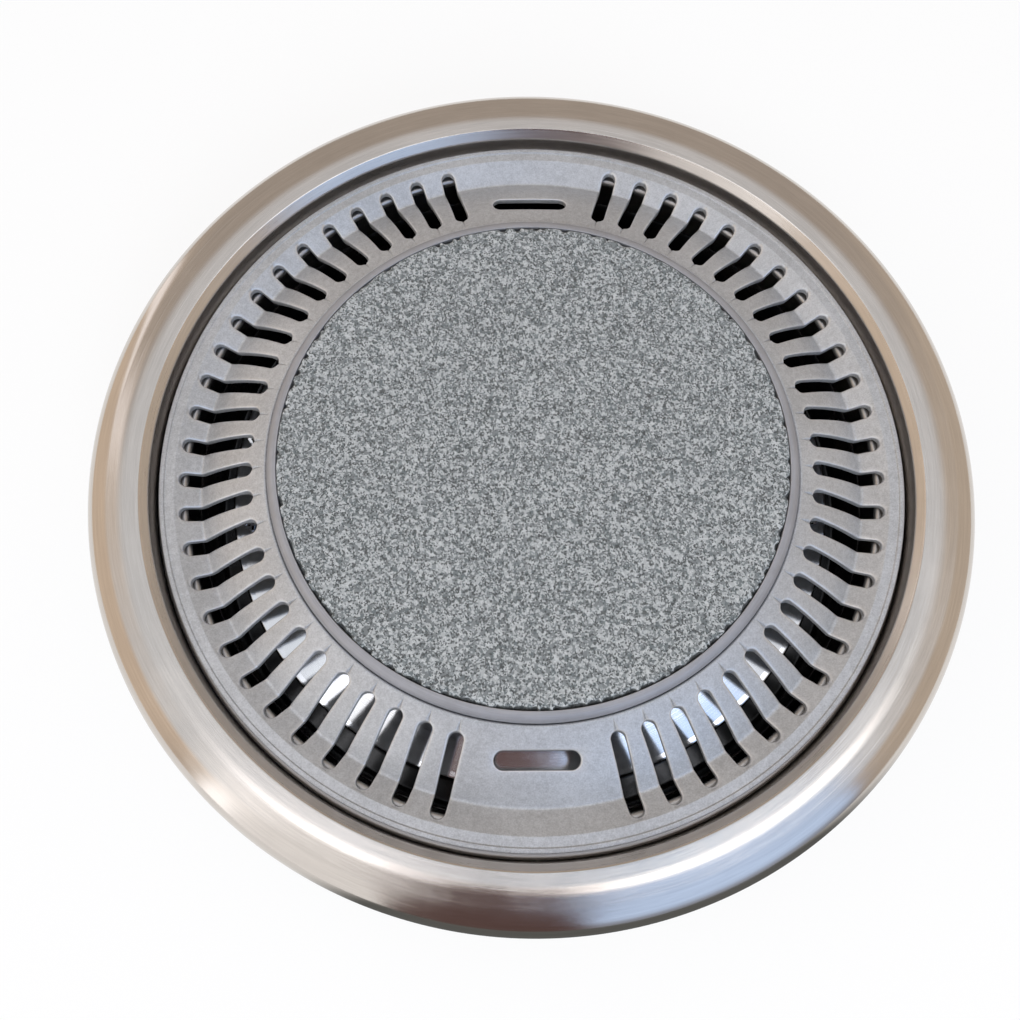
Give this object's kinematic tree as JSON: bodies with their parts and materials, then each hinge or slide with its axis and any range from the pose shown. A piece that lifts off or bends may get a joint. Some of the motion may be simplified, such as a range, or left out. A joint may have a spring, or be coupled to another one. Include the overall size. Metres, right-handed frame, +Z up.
{
  "type": "stone grill pan",
  "caption": "Round table-top grill pan: bull-nosed steel trim ring and bowl, drip trough, reflector, slotted aluminium plate and a hooped granite cooking disc that lift out in turn.",
  "frame": {"origin": "centre of the pan on the plane that its feet stand on", "axes": "+Z up along the pan's axis, -Y towards the cook, with a tool slot at the front and the back on Y, and a lifting bail at each side on X"},
  "size_m": [0.3912, 0.3912, 0.0809],
  "materials": {
    "brushed_steel": "brushed round the ring",
    "satin_steel": "satin",
    "polished_steel": "polished stainless steel",
    "dark_enamel": "black enamel",
    "cast_aluminium": "fine matt casting",
    "hoop_metal": "matt",
    "granite": "ground granite, speckled grey"
  },
  "bodies": {
    "base": {"base_bowl": "satin_steel", "plate_seat": "satin_steel", "rim_ring": "brushed_steel", "foot_1": "satin_steel", "foot_2": "satin_steel", "foot_3": "satin_steel", "foot_4": "satin_steel", "foot_screw_1": "satin_steel", "foot_screw_2": "satin_steel", "foot_screw_3": "satin_steel", "foot_screw_4": "satin_steel", "ring_rivet_1": "satin_steel", "ring_rivet_2": "satin_steel", "ring_rivet_3": "satin_steel", "ring_rivet_4": "satin_steel", "ring_rivet_5": "satin_steel", "ring_rivet_6": "satin_steel"},
    "tray": {"drip_tray": "dark_enamel"},
    "reflector": {"reflector": "polished_steel"},
    "bail_left": {"bail_left": "polished_steel"},
    "bail_right": {"bail_right": "polished_steel"},
    "grill": {"grill_plate": "cast_aluminium"},
    "stone": {"cooking_stone": "granite", "stone_hoop": "hoop_metal"}
  },
  "joints": [
    {"name": "tray_lift", "type": "slide", "parent": "base", "child": "tray", "axis": [0, 0, 1], "range_m": [0, 0.09]},
    {"name": "reflector_lift", "type": "slide", "parent": "tray", "child": "reflector", "axis": [0, 0, 1], "range_m": [0, 0.06]},
    {"name": "plate_lift", "type": "slide", "parent": "reflector", "child": "grill", "axis": [0, 0, 1], "range_m": [0, 0.06]},
    {"name": "stone_lift", "type": "slide", "parent": "grill", "child": "stone", "axis": [0, 0, 1], "range_m": [0, 0.05]},
    {"name": "bail_right_hinge", "type": "hinge", "parent": "reflector", "child": "bail_right", "pos_m": [0.131, 0, 0.04293], "axis": [0, 1, 0], "range_deg": [0, 160]},
    {"name": "bail_left_hinge", "type": "hinge", "parent": "reflector", "child": "bail_left", "pos_m": [-0.131, 0, 0.04293], "axis": [0, -1, 0], "range_deg": [0, 160]}
  ]
}
